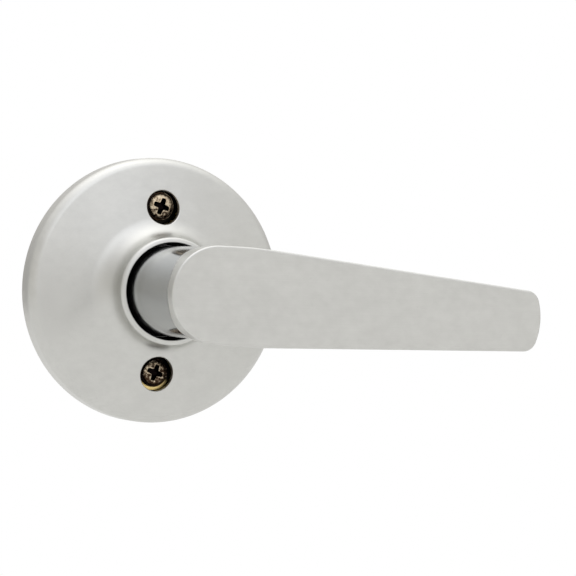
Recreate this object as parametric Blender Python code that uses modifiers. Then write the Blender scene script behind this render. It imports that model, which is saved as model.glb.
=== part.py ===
"""Inside half of a lever lockset: rose, sprung lever, mounting plate, spindle and through screws.

Every piece is drawn as seen by someone facing the door: x to the right, y up, and z straight out of the door,
with z = 0 on the door's face. The empty "door_face" turns that drawing upright, so that world +Z is up, the lever
points along +X, and the door is behind, towards +Y. The origin is where the spindle's axis meets the door's face.
"""

import math

import bmesh
import bpy
from mathutils import Matrix, Vector

# Driving dimensions, in metres.
ROSE_RADIUS = 0.03335
ROSE_SHEET = 0.0012
CONE_SLOPE = math.radians(12.6)
CONE_HEIGHT_AT_SCREWS = 0.0093
COLLAR_HEIGHT = 0.0185
COLLAR_HOLE_RADIUS = 0.01215
COLLAR_LIP = 0.00127
LIP_SLOPE = math.radians(16)
SWEEP_RADIUS = 0.0066
RIM_FILLET = 0.0027

SCREW_OFFSET = 0.0209
PLATE_LIFT = 0.0003
ROSE_SCREW_HOLE_RADIUS = 0.0043
SCREW_HEAD_TOP = 0.0080
SCREW_FLANGE_RADIUS = 0.00365
SCREW_FLANGE = 0.0006
SCREW_DOME_RADIUS = 0.0031
SCREW_SHANK_RADIUS = 0.00205
SCREW_REACH = 0.040
RECESS_SPAN = 0.0042
RECESS_ARM = 0.0010
RECESS_DEPTH = 0.0016
RECESS_TURN = math.radians(-19)

LEVER_FRONT = 0.0498
LEVER_TIP = 0.08645
LEVER_DROOP = math.radians(2.53)
BLADE_DROP = 0.00025
BLADE_TAPER = 0.0612
BLADE_ROOT_HALF_HEIGHT = 0.01266
HUB_RADIUS = 0.0118
HUB_SPREAD = math.radians(2.06)
SHOULDER_RADIUS = 0.080
BLADE_THICKNESS_HUB = 0.0072
BLADE_THICKNESS_TIP = 0.0060
BLADE_EDGE = 0.0005
TIP_CROWN_RADIUS = 0.016
TIP_CORNER_RADIUS = 0.0036
NECK_RADIUS_INNER = 0.01122
NECK_DRAFT = 0.001
NECK_END = 0.0103
NECK_BORE_RADIUS = 0.0088
NECK_BORE_END = 0.0315

PLATE_RADIUS = 0.0317
PLATE_THICKNESS = 0.0015
CUP_HEIGHT = 0.0060
CUP_RADIUS = 0.0047
CUP_WALL = 0.0010

CAGE_RADIUS = 0.0151
CAGE_SHEET = 0.0008
CAGE_FRONT = 0.0092
CAGE_BACK = 0.00185
EAR_REACH = 0.0215
EAR_HALF_HEIGHT = 0.0066
RIVET_X = 0.0183
RIVET_Y = 0.0039
RIVET_RADIUS = 0.0010
RIVET_HEAD_RADIUS = 0.0021
RIVET_HEAD = 0.0008

SPRING_WIRE = 0.0014
SPRING_RADIUS = 0.0103
SPRING_PITCH = 0.0017
SPRING_FOOT = 0.0033
SPRING_LEG_ANGLE = math.radians(14)
SPRING_LEG_END = 0.0140

SPINDLE_SIDE = 0.00794
SPINDLE_REACH = 0.045
SPINDLE_FRONT = 0.0109
SLEEVE_RADIUS = 0.0085
SLEEVE_FRONT = 0.0311
SLEEVE_BACK = -0.0080
SLEEVE_FLAT = 0.0072
GROOVE_RADIUS = 0.0076
GROOVE = (-0.0060, -0.0046)
PIN_RADIUS = 0.0012
PIN_Z = 0.0125

CAM_RADIUS = 0.0142
CAM = (-0.0034, -0.0018)
CAM_TAB = (0.0114, 0.0124)
CAM_TAB_HALF = 0.0019
LEVER_TRAVEL = math.radians(50)

# The plate sits a little high behind the rose, and the screws with it.
SCREWS = {
    "top": (0, PLATE_LIFT + SCREW_OFFSET),
    "bottom": (0, PLATE_LIFT - SCREW_OFFSET),
}
RIVETS = {
    "cage_rivet_left_upper": (-RIVET_X, RIVET_Y),
    "cage_rivet_left_lower": (-RIVET_X, -RIVET_Y),
    "cage_rivet_right_upper": (RIVET_X, RIVET_Y),
    "cage_rivet_right_lower": (RIVET_X, -RIVET_Y),
}

GAP = 0.0003
ARC_STEP = math.radians(15)
CUT_MARGIN = 0.002


def clear_scene():
    for thing in list(bpy.data.objects):
        bpy.data.objects.remove(thing, do_unlink=True)


def new_collection(name, hidden=False):
    made = bpy.data.collections.new(name)
    made.hide_render = hidden
    bpy.context.scene.collection.children.link(made)
    return made


def new_material(name, colour, metallic, roughness):
    made = bpy.data.materials.new(name)
    made.use_nodes = True
    shader = made.node_tree.nodes["Principled BSDF"]
    shader.inputs["Base Color"].default_value = (*colour, 1)
    shader.inputs["Metallic"].default_value = metallic
    shader.inputs["Roughness"].default_value = roughness
    made.diffuse_color = (*colour, 1)
    return made


clear_scene()
PARTS = new_collection("lever_lockset")
CUTTERS = new_collection("cutters", hidden=True)

SATIN = new_material("satin_metal", (0.60, 0.60, 0.58), 1.0, 0.36)
ZINC = new_material("yellow_zinc", (0.62, 0.50, 0.24), 1.0, 0.38)
BRONZE = new_material("bronzed_steel", (0.30, 0.22, 0.13), 1.0, 0.42)
STEEL = new_material("plain_steel", (0.50, 0.51, 0.52), 1.0, 0.40)
SPRING_STEEL = new_material("spring_steel", (0.24, 0.24, 0.25), 1.0, 0.35)
NYLON = new_material("black_nylon", (0.015, 0.015, 0.016), 0.0, 0.55)

DOOR_FACE = bpy.data.objects.new("door_face", None)
DOOR_FACE.rotation_euler = (math.radians(90), 0, 0)
PARTS.objects.link(DOOR_FACE)
LEVER_AXIS = bpy.data.objects.new("lever_axis", None)
LEVER_AXIS.parent = DOOR_FACE
PARTS.objects.link(LEVER_AXIS)


# Outlines: lists of 2D points.


def arc(radius, start, end, centre=(0, 0), step=ARC_STEP):
    steps = max(1, math.ceil(abs(end - start) / step - 1e-6))
    turns = [start + (end - start) * index / steps for index in range(steps + 1)]
    return [Vector((centre[0] + radius * math.cos(a), centre[1] + radius * math.sin(a))) for a in turns]


def circle(radius, sides=32, centre=(0, 0)):
    return arc(radius, 0, math.tau, centre, math.tau / sides)[:-1]


def rounded(corners, step=ARC_STEP):
    """A closed outline through (x, y, fillet radius) corners, with each fillet as an arc."""
    points = []
    for index, (x, y, radius) in enumerate(corners):
        corner = Vector((x, y))
        if not radius:
            points.append(corner)
            continue
        back = (Vector(corners[index - 1][:2]) - corner).normalized()
        ahead = (Vector(corners[(index + 1) % len(corners)][:2]) - corner).normalized()
        half = back.angle(ahead) / 2
        centre = corner + (back + ahead).normalized() * radius / math.sin(half)
        start = corner + back * radius / math.tan(half) - centre
        first = math.atan2(start.y, start.x)
        turn = math.copysign(math.pi - 2 * half, ahead.cross(back))
        points += arc(radius, first, first + turn, centre, step)
    return points


def arc_slot(inner, outer, half_angle, middle):
    """The outline of a slot that follows a circle, from inner to outer radius."""
    step = math.radians(8)
    there = arc(outer, middle - half_angle, middle + half_angle, step=step)
    return there + arc(inner, middle + half_angle, middle - half_angle, step=step)


# Solids, all drawn in the door_face frame.


def place(made, material, parent, collection):
    made.parent = parent
    made.data.materials.clear()
    made.data.materials.append(material)
    collection.objects.link(made)
    return made


def as_cutter(made):
    PARTS.objects.unlink(made)
    CUTTERS.objects.link(made)
    made.hide_render = True
    made.display_type = "WIRE"
    return made


def turned(name, outline, material, sides=48, centre=(0, 0), parent=None, closed=True):
    """Turns an outline of (radius, z) points, which runs down its outer side, about the z axis."""
    mesh = bpy.data.meshes.new(name)
    links = [(index, index + 1) for index in range(len(outline) - 1)]
    if closed:
        links.append((len(outline) - 1, 0))
    mesh.from_pydata([(point[0], 0, point[1]) for point in outline], links, [])
    made = place(bpy.data.objects.new(name, mesh), material, parent or DOOR_FACE, PARTS)
    made.location = (*centre, 0)
    screw = made.modifiers.new("turn", "SCREW")
    screw.steps = screw.render_steps = sides
    screw.use_merge_vertices = True
    screw.merge_threshold = 0.00001
    return made


def flat(name, outlines, low, high, material, parent=None):
    """A flat piece from z = low to high. The first outline is its edge, and the others are holes."""
    curve = bpy.data.curves.new(name + "_outline", "CURVE")
    curve.dimensions = "2D"
    curve.fill_mode = "BOTH"
    curve.extrude = (high - low) / 2
    for outline in outlines:
        spline = curve.splines.new("POLY")
        spline.points.add(len(outline) - 1)
        spline.use_cyclic_u = True
        for slot, point in zip(spline.points, outline):
            slot.co = (point[0], point[1], 0, 1)
    drawn = bpy.data.objects.new(name + "_outline", curve)
    return made_mesh(name, drawn, (0, 0, (low + high) / 2), material, parent)


def wire(name, path, radius, material, parent=None):
    """A round wire along 3D points."""
    curve = bpy.data.curves.new(name + "_path", "CURVE")
    curve.dimensions = "3D"
    curve.bevel_depth = radius
    curve.bevel_resolution = 2
    curve.use_fill_caps = True
    spline = curve.splines.new("POLY")
    spline.points.add(len(path) - 1)
    for slot, point in zip(spline.points, path):
        slot.co = (*point, 1)
    drawn = bpy.data.objects.new(name + "_path", curve)
    return made_mesh(name, drawn, (0, 0, 0), material, parent)


def lofted(name, rings, material, parent=None):
    """A solid through equal rings of 3D points, the first and last of which lie flat."""
    shape = bmesh.new()
    made = [[shape.verts.new(point) for point in ring] for ring in rings]
    for ring, following in zip(made, made[1:]):
        for index, vertex in enumerate(ring):
            shape.faces.new((ring[index - 1], vertex, following[index], following[index - 1]))
    shape.faces.new(made[0])
    shape.faces.new(made[-1])
    bmesh.ops.recalc_face_normals(shape, faces=shape.faces)
    mesh = bpy.data.meshes.new(name)
    shape.to_mesh(mesh)
    shape.free()
    return place(bpy.data.objects.new(name, mesh), material, parent or DOOR_FACE, PARTS)


def made_mesh(name, drawn, location, material, parent):
    """Replaces a curve object with a welded mesh object."""
    PARTS.objects.link(drawn)
    graph = bpy.context.evaluated_depsgraph_get()
    mesh = bpy.data.meshes.new_from_object(drawn.evaluated_get(graph))
    bpy.data.objects.remove(drawn, do_unlink=True)
    mesh.name = name
    shape = bmesh.new()
    shape.from_mesh(mesh)
    bmesh.ops.remove_doubles(shape, verts=shape.verts, dist=0.000001)
    bmesh.ops.recalc_face_normals(shape, faces=shape.faces)
    shape.to_mesh(mesh)
    shape.free()
    made = place(bpy.data.objects.new(name, mesh), material, parent or DOOR_FACE, PARTS)
    made.location = location
    return made


def box(name, low, high, material, parent=None):
    """A box between two opposite corners."""
    low, high = Vector(low), Vector(high)
    shape = bmesh.new()
    bmesh.ops.create_cube(shape, size=1)
    bmesh.ops.scale(shape, vec=high - low, verts=shape.verts)
    mesh = bpy.data.meshes.new(name)
    shape.to_mesh(mesh)
    shape.free()
    made = place(bpy.data.objects.new(name, mesh), material, parent or DOOR_FACE, PARTS)
    made.location = (low + high) / 2
    return made


def rod(name, radius, length, centre, material, sides=24, upright=False):
    """A cylinder along z, or along y if upright."""
    shape = bmesh.new()
    bmesh.ops.create_cone(
        shape, cap_ends=True, segments=sides, radius1=radius, radius2=radius, depth=length
    )
    if upright:
        bmesh.ops.rotate(shape, matrix=Matrix.Rotation(math.pi / 2, 3, "X"), verts=shape.verts)
    mesh = bpy.data.meshes.new(name)
    shape.to_mesh(mesh)
    shape.free()
    made = place(bpy.data.objects.new(name, mesh), material, DOOR_FACE, PARTS)
    made.location = centre
    return made


def combine(made, other, operation):
    boolean = made.modifiers.new(other.name, "BOOLEAN")
    boolean.operation = operation
    boolean.object = as_cutter(other)


def cut(made, other):
    combine(made, other, "DIFFERENCE")


def join(made, other):
    combine(made, other, "UNION")


def bevel(made, width, segments):
    edges = made.modifiers.new("edges", "BEVEL")
    edges.width = width
    edges.segments = segments
    edges.limit_method = "ANGLE"
    edges.angle_limit = math.radians(40)


# The fixed pieces.


def rose_outline():
    """The rose's section: lip, outer side down to the rim, and back up the inner side of the sheet."""
    slope = math.tan(CONE_SLOPE)
    lip_x = COLLAR_HOLE_RADIUS + COLLAR_LIP
    lip_z = COLLAR_HEIGHT - COLLAR_LIP * math.tan(LIP_SLOPE)
    flank = Vector((0.0004, -0.0069))

    def on_cone(x, drop=0.0):
        return CONE_HEIGHT_AT_SCREWS + (SCREW_OFFSET - x) * slope - drop

    def sweep_corner(start, drop):
        """Where the steep flank from a start point meets the cone, lowered by drop."""
        steep = flank.y / flank.x
        x = (on_cone(0, drop) - start.y + steep * start.x) / (steep + slope)
        return x, on_cone(x, drop)

    outer_sweep = sweep_corner(Vector((lip_x, lip_z)), 0)
    drop = ROSE_SHEET / math.cos(CONE_SLOPE)
    inner_sweep = sweep_corner(Vector((COLLAR_HOLE_RADIUS, COLLAR_HEIGHT)), drop)
    inside = ROSE_RADIUS - ROSE_SHEET
    return rounded(
        [
            (COLLAR_HOLE_RADIUS, COLLAR_HEIGHT, 0.0002),
            (lip_x, lip_z, 0.0009),
            (*outer_sweep, SWEEP_RADIUS),
            (ROSE_RADIUS, on_cone(ROSE_RADIUS), RIM_FILLET),
            (ROSE_RADIUS, 0, 0),
            (inside, 0, 0),
            (inside, on_cone(inside, drop), RIM_FILLET - ROSE_SHEET),
            (*inner_sweep, SWEEP_RADIUS + ROSE_SHEET),
        ],
        step=math.radians(24),
    )


def make_rose():
    rose = turned("rose", rose_outline(), SATIN, sides=48)
    for side in (1, -1):
        centre = (0, side * SCREW_OFFSET, 0.01)
        cut(rose, rod("rose_hole", ROSE_SCREW_HOLE_RADIUS, 0.02, centre, SATIN))


def make_bushing():
    inner = NECK_RADIUS_INNER + GAP + 0.0001
    low, flange_top, top = CAGE_FRONT + GAP, 0.0104, 0.0135
    outer, flange = 0.0124, 0.0140
    outline = [(inner, top), (outer, top), (outer, flange_top), (flange, flange_top), (flange, low), (inner, low)]
    turned("collar_bushing", outline, NYLON, sides=40)


def make_plate():
    slot = (CAM_TAB[0] - GAP, math.hypot(CAM_TAB[1], CAM_TAB_HALF) + GAP)
    half_angle = LEVER_TRAVEL + math.atan2(CAM_TAB_HALF, CAM_TAB[0]) + math.radians(1.6)
    holes = [circle(SLEEVE_RADIUS + GAP + 0.0001)]
    holes += [arc_slot(*slot, half_angle, middle) for middle in (0, math.pi)]
    holes += [circle(CUP_RADIUS - CUP_WALL / 2, 18, spot) for spot in SCREWS.values()]
    holes += [circle(RIVET_RADIUS + GAP, 12, spot) for spot in RIVETS.values()]
    plate = flat("mounting_plate", [circle(PLATE_RADIUS, 48), *holes], 0, PLATE_THICKNESS, ZINC)
    hole = SCREW_SHANK_RADIUS + 0.0006
    wall = CUP_RADIUS - CUP_WALL
    outline = [
        (hole, CUP_HEIGHT),
        (CUP_RADIUS - 0.0003, CUP_HEIGHT),
        (CUP_RADIUS, CUP_HEIGHT - 0.0003),
        (CUP_RADIUS, 0.0002),
        (wall, 0.0002),
        (wall, CUP_HEIGHT - CUP_WALL),
        (hole, CUP_HEIGHT - CUP_WALL),
    ]
    for spot in SCREWS.values():
        join(plate, turned("screw_cup", outline, ZINC, sides=24, centre=spot))


def make_cage():
    hole = SLEEVE_RADIUS + GAP + 0.0001
    inside, under = CAGE_RADIUS - CAGE_SHEET, CAGE_FRONT - CAGE_SHEET
    outline = rounded(
        [
            (hole, CAGE_FRONT, 0),
            (CAGE_RADIUS, CAGE_FRONT, 0.001),
            (CAGE_RADIUS, CAGE_BACK, 0),
            (inside, CAGE_BACK, 0),
            (inside, under, 0),
            (hole, under, 0),
        ],
        step=math.radians(30),
    )
    cage = turned("spring_cage", outline, STEEL, sides=40)
    for side in (1, -1):
        near, far = side * (inside + 0.0003), side * EAR_REACH
        ear = rounded([(near, -EAR_HALF_HEIGHT, 0), (far, -EAR_HALF_HEIGHT, 0.0025),
                       (far, EAR_HALF_HEIGHT, 0.0025), (near, EAR_HALF_HEIGHT, 0)])
        holes = [circle(RIVET_RADIUS + GAP, 12, spot) for spot in RIVETS.values() if spot[0] * side > 0]
        low = CAGE_BACK + 0.0001
        join(cage, flat("cage_ear", [ear, *holes], low, low + CAGE_SHEET, STEEL))
    tab_near = CAM_TAB[1] + 0.0004
    tab_half = CAM_TAB_HALF + GAP
    corners = (-tab_near - 0.001, -tab_half, 0.0023), (-tab_near, tab_half, CAGE_FRONT - CAGE_SHEET / 2)
    join(cage, box("spring_tab", *corners, STEEL))


def make_rivets():
    """Round-headed rivets through the cage's ears and the plate."""
    front = CAGE_BACK + 0.0001 + CAGE_SHEET + GAP
    for name, spot in RIVETS.items():
        outline = [
            (0, front + RIVET_HEAD),
            (RIVET_HEAD_RADIUS * 0.6, front + RIVET_HEAD * 0.85),
            (RIVET_HEAD_RADIUS, front + RIVET_HEAD * 0.3),
            (RIVET_HEAD_RADIUS, front),
            (RIVET_RADIUS, front),
            (RIVET_RADIUS, -GAP),
            (RIVET_HEAD_RADIUS, -GAP),
            (RIVET_HEAD_RADIUS * 0.8, -GAP - RIVET_HEAD / 2),
            (0, -GAP - RIVET_HEAD / 2),
        ]
        turned(name, outline, STEEL, sides=14, centre=spot, closed=False)


def make_spring():
    """A torsion spring whose two legs stand either side of the cage's and the cam's tabs."""
    start = math.pi + SPRING_LEG_ANGLE
    sweep = 2 * math.tau - 2 * SPRING_LEG_ANGLE
    steps = 30

    def around(angle, radius, z):
        return (radius * math.cos(angle), radius * math.sin(angle), z)

    coil = []
    for index in range(steps + 1):
        turn = sweep * index / steps
        coil.append(around(start + turn, SPRING_RADIUS, SPRING_FOOT + SPRING_PITCH * turn / math.tau))
    first = around(start, SPRING_LEG_END, SPRING_FOOT)
    last = around(start + sweep, SPRING_LEG_END, coil[-1][2])
    wire("return_spring", [first, *coil, last], SPRING_WIRE / 2, SPRING_STEEL)


def make_washers():
    sleeve = SLEEVE_RADIUS + GAP
    low = CAGE_FRONT + GAP
    thrust = [circle(NECK_RADIUS_INNER + 0.0002), circle(sleeve, 32)]
    flat("thrust_washer", thrust, low, NECK_END - GAP, NYLON)
    flat("cam_washer", [circle(0.012), circle(sleeve, 32)], GROOVE[1] + 0.0001, CAM[0] - GAP, STEEL)

    # The wave washer is a flat ring bent into three waves.
    wave = flat("wave_washer", [circle(0.0108, 36), circle(sleeve + 0.0001, 36)], -0.0011, -0.0007, SPRING_STEEL)
    for vertex in wave.data.vertices:
        vertex.co.z += 0.00035 * math.cos(3 * math.atan2(vertex.co.y, vertex.co.x))


def make_screws():
    """Washer-head machine screws with a cross recess, and their plastic retainers."""
    seat = CUP_HEIGHT + GAP
    flange = seat + SCREW_FLANGE
    outline = [
        (0, SCREW_HEAD_TOP),
        (SCREW_DOME_RADIUS * 0.55, SCREW_HEAD_TOP - 0.0001),
        (SCREW_DOME_RADIUS * 0.85, SCREW_HEAD_TOP - 0.0005),
        (SCREW_DOME_RADIUS, SCREW_HEAD_TOP - 0.0010),
        (SCREW_DOME_RADIUS, flange),
        (SCREW_FLANGE_RADIUS, flange - 0.0002),
        (SCREW_FLANGE_RADIUS, seat),
        (SCREW_SHANK_RADIUS, seat),
        (SCREW_SHANK_RADIUS, 0.0005 - SCREW_REACH),
        (SCREW_SHANK_RADIUS - 0.0005, -SCREW_REACH),
        (0, -SCREW_REACH),
    ]
    inner, outer = SCREW_SHANK_RADIUS + GAP, CUP_RADIUS - CUP_WALL - GAP
    for label, centre in SCREWS.items():
        screw = turned("mounting_screw_" + label, outline, BRONZE, sides=20, centre=centre, closed=False)
        cut(screw, cross_cutter(centre))
        ring = [circle(outer, 20, centre), circle(inner, 20, centre)]
        flat("screw_retainer_" + label, ring, 0.0005, 0.0016, NYLON)


def cross_cutter(centre):
    """A cross-shaped bar, for the drive recess."""
    half, span = RECESS_ARM / 2, RECESS_SPAN / 2
    arm = [Vector((span, -half)), Vector((span, half)), Vector((half, half))]
    outline = []
    for quarter in range(4):
        turn = Matrix.Rotation(quarter * math.pi / 2 + RECESS_TURN, 2)
        outline += [turn @ point + Vector(centre) for point in arm]
    return flat("recess", [outline], SCREW_HEAD_TOP - RECESS_DEPTH, SCREW_HEAD_TOP + CUT_MARGIN, BRONZE)


# The turning pieces, which are children of the lever_axis empty.


def blade_outline():
    """The lever as seen from the front: a round hub, tapered sides and a crowned end."""
    left = HUB_RADIUS * (1 - math.sin(HUB_SPREAD)) / math.cos(HUB_SPREAD)
    shoulder_x = (BLADE_ROOT_HALF_HEIGHT - HUB_RADIUS / math.cos(HUB_SPREAD)) / (math.tan(HUB_SPREAD) + BLADE_TAPER)
    shoulder_y = BLADE_ROOT_HALF_HEIGHT - BLADE_TAPER * shoulder_x
    tip_x = LEVER_TIP - 0.0016
    tip_y = BLADE_ROOT_HALF_HEIGHT - BLADE_TAPER * tip_x
    points = rounded(
        [
            (-HUB_RADIUS, -left, HUB_RADIUS - 0.00001),
            (shoulder_x, -shoulder_y, SHOULDER_RADIUS),
            (tip_x, -tip_y, TIP_CORNER_RADIUS),
            (LEVER_TIP + 0.00087, 0, TIP_CROWN_RADIUS),
            (tip_x, tip_y, TIP_CORNER_RADIUS),
            (shoulder_x, shoulder_y, SHOULDER_RADIUS),
            (-HUB_RADIUS, left, HUB_RADIUS - 0.00001),
        ],
        step=math.radians(9),
    )
    apart = [point for index, point in enumerate(points) if (point - points[index - 1]).length > GAP / 3]
    return [point - Vector((0, BLADE_DROP)) for point in apart]


def inset(outline, amount):
    """The outline moved inwards."""
    moved = []
    for index, point in enumerate(outline):
        before = (point - outline[index - 1]).normalized()
        after = (outline[(index + 1) % len(outline)] - point).normalized()
        inward = Vector((-before.y - after.y, before.x + after.x)).normalized()
        moved.append(point + inward * amount / math.cos(before.angle(after) / 2))
    return moved


def blade_back(x):
    """The height of the blade's flat back, which slopes so that the blade thins towards its tip."""
    share = (x + HUB_RADIUS) / (LEVER_TIP + HUB_RADIUS)
    return LEVER_FRONT - BLADE_THICKNESS_HUB + share * (BLADE_THICKNESS_HUB - BLADE_THICKNESS_TIP)


def neck_radius(z):
    return NECK_RADIUS_INNER + NECK_DRAFT * (z - NECK_END)


def make_lever():
    outline = blade_outline()
    inner = inset(outline, BLADE_EDGE)
    rings = [
        [(point.x, point.y, blade_back(point.x)) for point in inner],
        [(point.x, point.y, blade_back(point.x) + BLADE_EDGE) for point in outline],
        [(point.x, point.y, LEVER_FRONT - BLADE_EDGE) for point in outline],
        [(point.x, point.y, LEVER_FRONT) for point in inner],
    ]
    lever = lofted("lever", rings, SATIN, LEVER_AXIS)
    lever.rotation_euler.z = -LEVER_DROOP

    top = blade_back(0) + 0.002
    neck = [(0, top), (neck_radius(top), top), (neck_radius(NECK_END), NECK_END), (0, NECK_END)]
    join(lever, turned("neck", neck, SATIN, parent=LEVER_AXIS, closed=False))
    low = NECK_END - CUT_MARGIN
    cut(lever, rod("neck_bore", NECK_BORE_RADIUS, NECK_BORE_END - low,
                   (0, 0, (NECK_BORE_END + low) / 2), SATIN, sides=32))
    cut(lever, rod("neck_pin_hole", PIN_RADIUS + GAP, 0.03, (0, 0, PIN_Z), SATIN, sides=16, upright=True))


def make_sleeve():
    square = SPINDLE_SIDE / 2 + GAP + 0.00003
    hole = [Vector((x * square, y * square)) for x, y in ((-1, -1), (1, -1), (1, 1), (-1, 1))]
    sleeve = flat("spindle_sleeve", [circle(SLEEVE_RADIUS, 40), hole], SLEEVE_BACK, SLEEVE_FRONT, STEEL, LEVER_AXIS)
    low, high = SLEEVE_BACK - CUT_MARGIN, CAM[1] + GAP
    for side in (1, -1):
        near, far = sorted((side * SLEEVE_FLAT, side * 0.012))
        cut(sleeve, box("sleeve_flat", (-0.012, near, low), (0.012, far, high), STEEL))
    groove = [(GROOVE_RADIUS, GROOVE[1]), (0.011, GROOVE[1]), (0.011, GROOVE[0]), (GROOVE_RADIUS, GROOVE[0])]
    cut(sleeve, turned("ring_groove", groove, STEEL, sides=40))
    cut(sleeve, rod("sleeve_pin_hole", PIN_RADIUS + GAP, 0.03, (0, 0, PIN_Z), STEEL, sides=16, upright=True))


def make_cam():
    """A disc keyed to the sleeve's flats, with a long tab for the spring and a short one for the stop."""
    hole_radius, hole_flat = SLEEVE_RADIUS + GAP, SLEEVE_FLAT + GAP
    half = math.asin(hole_flat / hole_radius)
    hole = arc(hole_radius, -half, half) + arc(hole_radius, math.pi - half, math.pi + half)
    cam = flat("drive_cam", [circle(CAM_RADIUS, 40), hole], *CAM, STEEL, LEVER_AXIS)
    middle = (CAM[0] + CAM[1]) / 2
    for side, reach in ((-1, 0.0077), (1, 0.0028)):
        near, far = sorted((side * CAM_TAB[0], side * CAM_TAB[1]))
        join(cam, box("cam_tab", (near, -CAM_TAB_HALF, middle), (far, CAM_TAB_HALF, reach), STEEL))


def make_retaining_ring():
    """An external circlip: an open ring with two lugs."""
    inner, outer, lug_end = GROOVE_RADIUS + GAP, 0.0104, 0.0128
    middle, gap_half, lug = math.radians(-90), math.radians(16), math.radians(17)
    start, end = middle + gap_half, middle + math.tau - gap_half
    edge = arc(outer, start + lug, end - lug)
    lug_out = arc(lug_end, end - lug * 0.8, end)
    lug_in = arc(lug_end, start, start + lug * 0.8)
    inside = arc(inner, end, start)
    mid = (inner + lug_end) / 2 + 0.0004
    holes = []
    for angle in (start + lug * 0.42, end - lug * 0.42):
        holes.append(circle(0.0007, 10, (mid * math.cos(angle), mid * math.sin(angle))))
    outlines = [edge + lug_out + inside + lug_in, *holes]
    flat("retaining_ring", outlines, GROOVE[0] + GAP, GROOVE[1] - GAP, SPRING_STEEL, LEVER_AXIS)


def make_spindle():
    half = SPINDLE_SIDE / 2
    spindle = box("spindle", (-half, -half, -SPINDLE_REACH), (half, half, SPINDLE_FRONT), STEEL, LEVER_AXIS)
    bevel(spindle, 0.0005, 1)
    reach = neck_radius(PIN_Z) - GAP
    pin = rod("sleeve_pin", PIN_RADIUS, 2 * reach, (0, 0, PIN_Z), STEEL, sides=16, upright=True)
    pin.parent = LEVER_AXIS


def shade(made):
    if made.type == "MESH":
        made.data.shade_smooth()
        made.data.set_sharp_from_angle(angle=math.radians(35))


make_rose()
make_bushing()
make_plate()
make_cage()
make_rivets()
make_spring()
make_washers()
make_screws()
make_lever()
make_sleeve()
make_cam()
make_retaining_ring()
make_spindle()
for piece in PARTS.objects:
    shade(piece)
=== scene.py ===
from math import asin, atan2, ceil, copysign, cos, degrees, exp, hypot, pi, radians, sin, tan, tau

import bmesh
import bpy
from mathutils import Matrix, Vector


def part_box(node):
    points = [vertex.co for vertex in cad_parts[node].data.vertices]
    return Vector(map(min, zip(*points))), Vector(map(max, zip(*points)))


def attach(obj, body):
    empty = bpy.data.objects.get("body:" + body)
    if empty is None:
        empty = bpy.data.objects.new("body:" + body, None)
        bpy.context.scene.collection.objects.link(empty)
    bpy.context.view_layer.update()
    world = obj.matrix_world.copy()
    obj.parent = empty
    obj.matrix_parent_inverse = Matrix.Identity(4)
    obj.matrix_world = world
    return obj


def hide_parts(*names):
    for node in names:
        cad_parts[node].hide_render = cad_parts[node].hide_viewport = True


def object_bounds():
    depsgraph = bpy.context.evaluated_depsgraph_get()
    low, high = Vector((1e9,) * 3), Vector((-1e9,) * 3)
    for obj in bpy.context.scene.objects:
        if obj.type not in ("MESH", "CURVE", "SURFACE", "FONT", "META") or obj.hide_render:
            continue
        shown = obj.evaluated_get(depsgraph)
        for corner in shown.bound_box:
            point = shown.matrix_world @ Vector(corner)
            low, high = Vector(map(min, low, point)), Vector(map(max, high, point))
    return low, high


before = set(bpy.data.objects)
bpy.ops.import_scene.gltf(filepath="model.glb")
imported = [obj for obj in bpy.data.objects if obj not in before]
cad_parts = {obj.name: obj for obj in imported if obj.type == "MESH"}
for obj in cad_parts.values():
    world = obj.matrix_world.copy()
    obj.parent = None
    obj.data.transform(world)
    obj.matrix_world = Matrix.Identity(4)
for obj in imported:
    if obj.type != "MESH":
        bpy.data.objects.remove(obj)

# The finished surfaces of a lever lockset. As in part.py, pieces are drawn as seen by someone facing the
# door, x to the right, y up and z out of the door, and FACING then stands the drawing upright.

CAD_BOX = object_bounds()
FACING = Matrix.Rotation(radians(90), 4, "X")


def facing_box(node):
    """A CAD node's lowest and highest corner, as seen by someone facing the door."""
    low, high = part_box(node)
    return Vector((low.x, low.z, -high.y)), Vector((high.x, high.z, -low.y))


# Sizes read from the frame, in metres.
ROSE_HIGH = facing_box("rose")[1]
ROSE_RADIUS = ROSE_HIGH.x
COLLAR_HEIGHT = ROSE_HIGH.z
LEVER_LOW, LEVER_HIGH = facing_box("lever")
LEVER_FRONT = LEVER_HIGH.z
NECK_END = LEVER_LOW.z
PLATE_HIGH = facing_box("mounting_plate")[1]
PLATE_RADIUS = PLATE_HIGH.x
CUP_HEIGHT = PLATE_HIGH.z
CAGE_LOW, CAGE_HIGH = facing_box("spring_cage")
BUSHING_LOW, BUSHING_HIGH = facing_box("collar_bushing")
SLEEVE_LOW, SLEEVE_HIGH = facing_box("spindle_sleeve")
SLEEVE_RADIUS = SLEEVE_HIGH.x
CAM_LOW, CAM_HIGH = facing_box("drive_cam")
RING_LOW, RING_HIGH = facing_box("retaining_ring")
SPINDLE_LOW, SPINDLE_HIGH = facing_box("spindle")
SPINDLE_SIDE = SPINDLE_HIGH.x - SPINDLE_LOW.x
SCREW_BOXES = {label: facing_box("mounting_screw_" + label) for label in ("top", "bottom")}
SCREWS = {label: (low + high) / 2 for label, (low, high) in SCREW_BOXES.items()}
SCREW_TIP = SCREW_BOXES["top"][0].z
SCREW_HEAD_TOP = SCREW_BOXES["top"][1].z
SCREW_FLANGE_RADIUS = SCREW_BOXES["top"][1].x
RIVETS = {}
for side in ("left", "right"):
    for level in ("upper", "lower"):
        rivet = f"cage_rivet_{side}_{level}"
        RIVETS[rivet] = sum(facing_box(rivet), Vector()) / 2

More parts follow.
